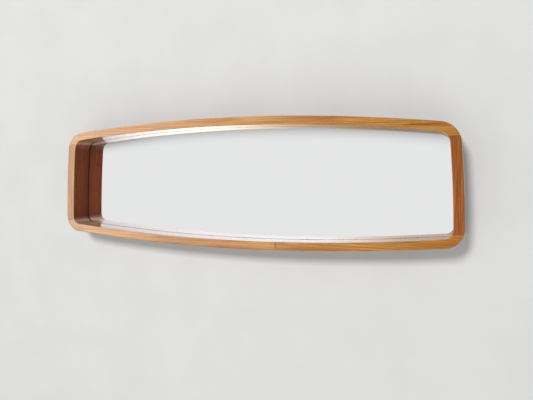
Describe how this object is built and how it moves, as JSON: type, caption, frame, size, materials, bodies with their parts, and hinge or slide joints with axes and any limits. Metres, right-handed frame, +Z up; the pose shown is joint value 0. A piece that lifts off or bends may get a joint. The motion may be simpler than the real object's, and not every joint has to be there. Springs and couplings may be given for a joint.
{
  "type": "wall mirror",
  "caption": "Long wall mirror recessed in a deep solid wood frame with the bowed, round-cornered outline of a car rear-view mirror.",
  "frame": {"origin": "middle of the rear face of the backboard, which is parallel to the wall and 6.3 mm in front of it", "axes": "+X along the mirror's length, to the right as seen from the front; +Y from the mirror towards the wall; +Z up"},
  "size_m": [0.9992, 0.077, 0.309],
  "materials": {
    "rail_wood": "clear gloss varnish over golden brown hardwood, grain along the rail",
    "stile_wood": "clear gloss varnish over red brown hardwood, grain upright",
    "dowel_wood": "bare beech",
    "mirror": "clear float glass, silvered at the back",
    "glazing_foam": "matt black foam tape",
    "sheet_foam": "white packing foam",
    "plywood": "bare plywood",
    "zinc": "bright zinc plate",
    "steel": "nickel plate",
    "rubber": "matt black rubber"
  },
  "bodies": {
    "frame": {"top_rail": "rail_wood", "bottom_rail": "rail_wood", "left_stile": "stile_wood", "right_stile": "stile_wood", "dowel_top_left_front": "dowel_wood", "dowel_top_left_rear": "dowel_wood", "dowel_top_right_front": "dowel_wood", "dowel_top_right_rear": "dowel_wood", "dowel_bottom_left_front": "dowel_wood", "dowel_bottom_left_rear": "dowel_wood", "dowel_bottom_right_front": "dowel_wood", "dowel_bottom_right_rear": "dowel_wood", "glazing_tape": "glazing_foam", "mirror_glass": "mirror", "foam_sheet": "sheet_foam", "backboard": "plywood", "button_screw_top_left": "steel", "button_screw_top_middle": "steel", "button_screw_top_right": "steel", "button_screw_bottom_left": "steel", "button_screw_bottom_middle": "steel", "button_screw_bottom_right": "steel", "button_screw_left": "steel", "button_screw_right": "steel", "hanger_strap_left": "zinc", "hanger_strap_right": "zinc", "strap_screw_left_upper": "steel", "strap_screw_left_lower": "steel", "strap_screw_right_upper": "steel", "strap_screw_right_lower": "steel", "bumper_top_left": "rubber", "bumper_top_right": "rubber", "bumper_bottom_left": "rubber", "bumper_bottom_right": "rubber"},
    "button_top_left": {"turn_button_top_left": "zinc"},
    "button_top_middle": {"turn_button_top_middle": "zinc"},
    "button_top_right": {"turn_button_top_right": "zinc"},
    "button_bottom_left": {"turn_button_bottom_left": "zinc"},
    "button_bottom_middle": {"turn_button_bottom_middle": "zinc"},
    "button_bottom_right": {"turn_button_bottom_right": "zinc"},
    "button_left": {"turn_button_left": "zinc"},
    "button_right": {"turn_button_right": "zinc"},
    "ring_left": {"d_ring_left": "steel"},
    "ring_right": {"d_ring_right": "steel"}
  },
  "joints": [
    {"name": "button_top_left_turn", "type": "hinge", "parent": "frame", "child": "button_top_left", "pos_m": [-0.32, 0.0012, 0.13577], "axis": [0, 1, 0], "range_deg": [-90, 90]},
    {"name": "button_top_middle_turn", "type": "hinge", "parent": "frame", "child": "button_top_middle", "pos_m": [0, 0.0012, 0.1485], "axis": [0, 1, 0], "range_deg": [-90, 90]},
    {"name": "button_top_right_turn", "type": "hinge", "parent": "frame", "child": "button_top_right", "pos_m": [0.32, 0.0012, 0.13577], "axis": [0, 1, 0], "range_deg": [-90, 90]},
    {"name": "button_bottom_left_turn", "type": "hinge", "parent": "frame", "child": "button_bottom_left", "pos_m": [-0.32, 0.0012, -0.13524], "axis": [0, 1, 0], "range_deg": [-90, 90]},
    {"name": "button_bottom_middle_turn", "type": "hinge", "parent": "frame", "child": "button_bottom_middle", "pos_m": [0, 0.0012, -0.1465], "axis": [0, 1, 0], "range_deg": [-90, 90]},
    {"name": "button_bottom_right_turn", "type": "hinge", "parent": "frame", "child": "button_bottom_right", "pos_m": [0.32, 0.0012, -0.13524], "axis": [0, 1, 0], "range_deg": [-90, 90]},
    {"name": "button_left_turn", "type": "hinge", "parent": "frame", "child": "button_left", "pos_m": [-0.48967, 0.0012, -0.025], "axis": [0, 1, 0], "range_deg": [-90, 90]},
    {"name": "button_right_turn", "type": "hinge", "parent": "frame", "child": "button_right", "pos_m": [0.48967, 0.0012, -0.025], "axis": [0, 1, 0], "range_deg": [-90, 90]},
    {"name": "ring_left_swing", "type": "hinge", "parent": "frame", "child": "ring_left", "pos_m": [-0.48204, 0.00335, 0.075], "axis": [-1, 0, 0], "range_deg": [0, 160]},
    {"name": "ring_right_swing", "type": "hinge", "parent": "frame", "child": "ring_right", "pos_m": [0.48204, 0.00335, 0.075], "axis": [-1, 0, 0], "range_deg": [0, 160]}
  ]
}
